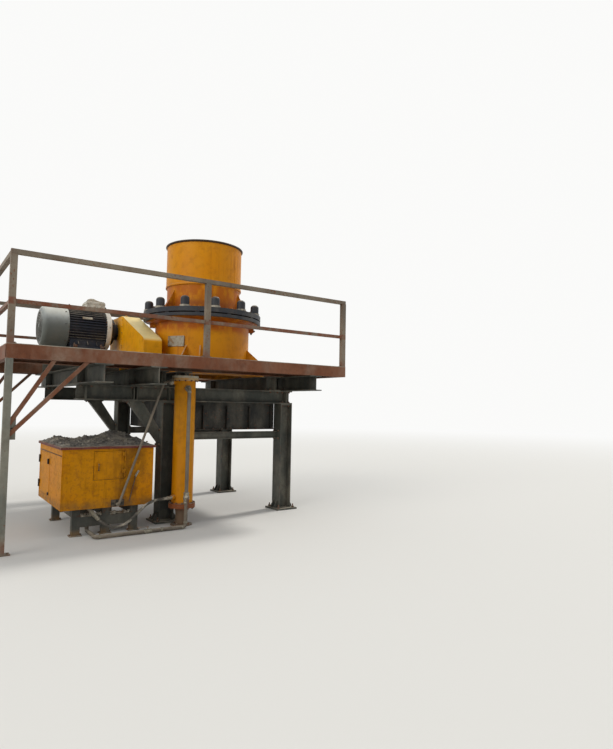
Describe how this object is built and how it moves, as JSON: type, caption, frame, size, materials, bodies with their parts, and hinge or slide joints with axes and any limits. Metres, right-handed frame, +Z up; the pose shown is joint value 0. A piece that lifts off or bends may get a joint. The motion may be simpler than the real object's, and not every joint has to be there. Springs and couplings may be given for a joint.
{
  "type": "cone crusher on a steel stand",
  "caption": "Cone crusher with motor and belt guard on a braced steel stand, with handrailed service platform, oil station and upright oil cooler.",
  "frame": {"origin": "on the ground under the middle of the platform", "axes": "+Z up, +X along the motor from its fan cowl towards the crusher, +Y from the oil station towards the back"},
  "size_m": [4.87, 3.96, 4.415],
  "materials": {
    "crusher_paint": "worn",
    "guard_paint": "worn",
    "dark_steel": "dusty",
    "wear_iron": "worn",
    "bare_plate": "dull",
    "motor_dark": "dusty",
    "motor_grey": "satin",
    "stand_paint": "dusty",
    "rusty_steel": "rusty",
    "rail_steel": "worn",
    "station_paint": "worn",
    "lid_steel": "rusty",
    "skid_steel": "worn",
    "hose_rubber": "matte"
  },
  "bodies": {
    "plant": {"belt_guard": "guard_paint", "bowl_liner": "wear_iron", "clamping_cylinders": "dark_steel", "columns": "stand_paint", "cone_head": "wear_iron", "cooler_cap": "skid_steel", "cooler_pipes": "skid_steel", "cross_beams": "stand_paint", "deck_joists": "rusty_steel", "deck_plates": "rusty_steel", "deck_struts": "rusty_steel", "discharge_box": "stand_paint", "end_edge_beams": "rusty_steel", "feed_hopper": "crusher_paint", "feed_plate": "wear_iron", "frame_flanges": "crusher_paint", "frame_hub": "crusher_paint", "frame_ribs": "crusher_paint", "ground_posts": "rail_steel", "handrail_left": "rail_steel", "hopper_neck": "crusher_paint", "long_edge_beams": "rusty_steel", "long_handrails": "rail_steel", "lower_adjustment_ring": "dark_steel", "main_beams": "stand_paint", "main_frame": "crusher_paint", "motor_body": "motor_dark", "motor_end_shield": "motor_dark", "motor_fan_cowl": "motor_grey", "motor_pedestal": "stand_paint", "nameplate": "bare_plate", "neck_gussets": "crusher_paint", "oil_cooler": "station_paint", "oil_hose": "hose_rubber", "oil_tank": "dark_steel", "ring_bridges": "dark_steel", "slide_rails": "stand_paint", "stand_braces": "stand_paint", "station_cabinet": "station_paint", "station_lid": "lid_steel", "station_skid": "skid_steel", "terminal_box": "motor_dark", "upper_adjustment_ring": "dark_steel"},
    "front_hatch": {"front_hatch": "station_paint"},
    "side_door": {"side_door": "station_paint"}
  },
  "joints": [
    {"name": "front_hatch_hinge", "type": "hinge", "parent": "plant", "child": "front_hatch", "pos_m": [-0.921, -1.514, 0.888], "axis": [0, 0, 1], "range_deg": [0, 90]},
    {"name": "side_door_hinge", "type": "hinge", "parent": "plant", "child": "side_door", "pos_m": [-1.714, -0.121, 0.715], "axis": [0, 0, -1], "range_deg": [0, 110]}
  ]
}
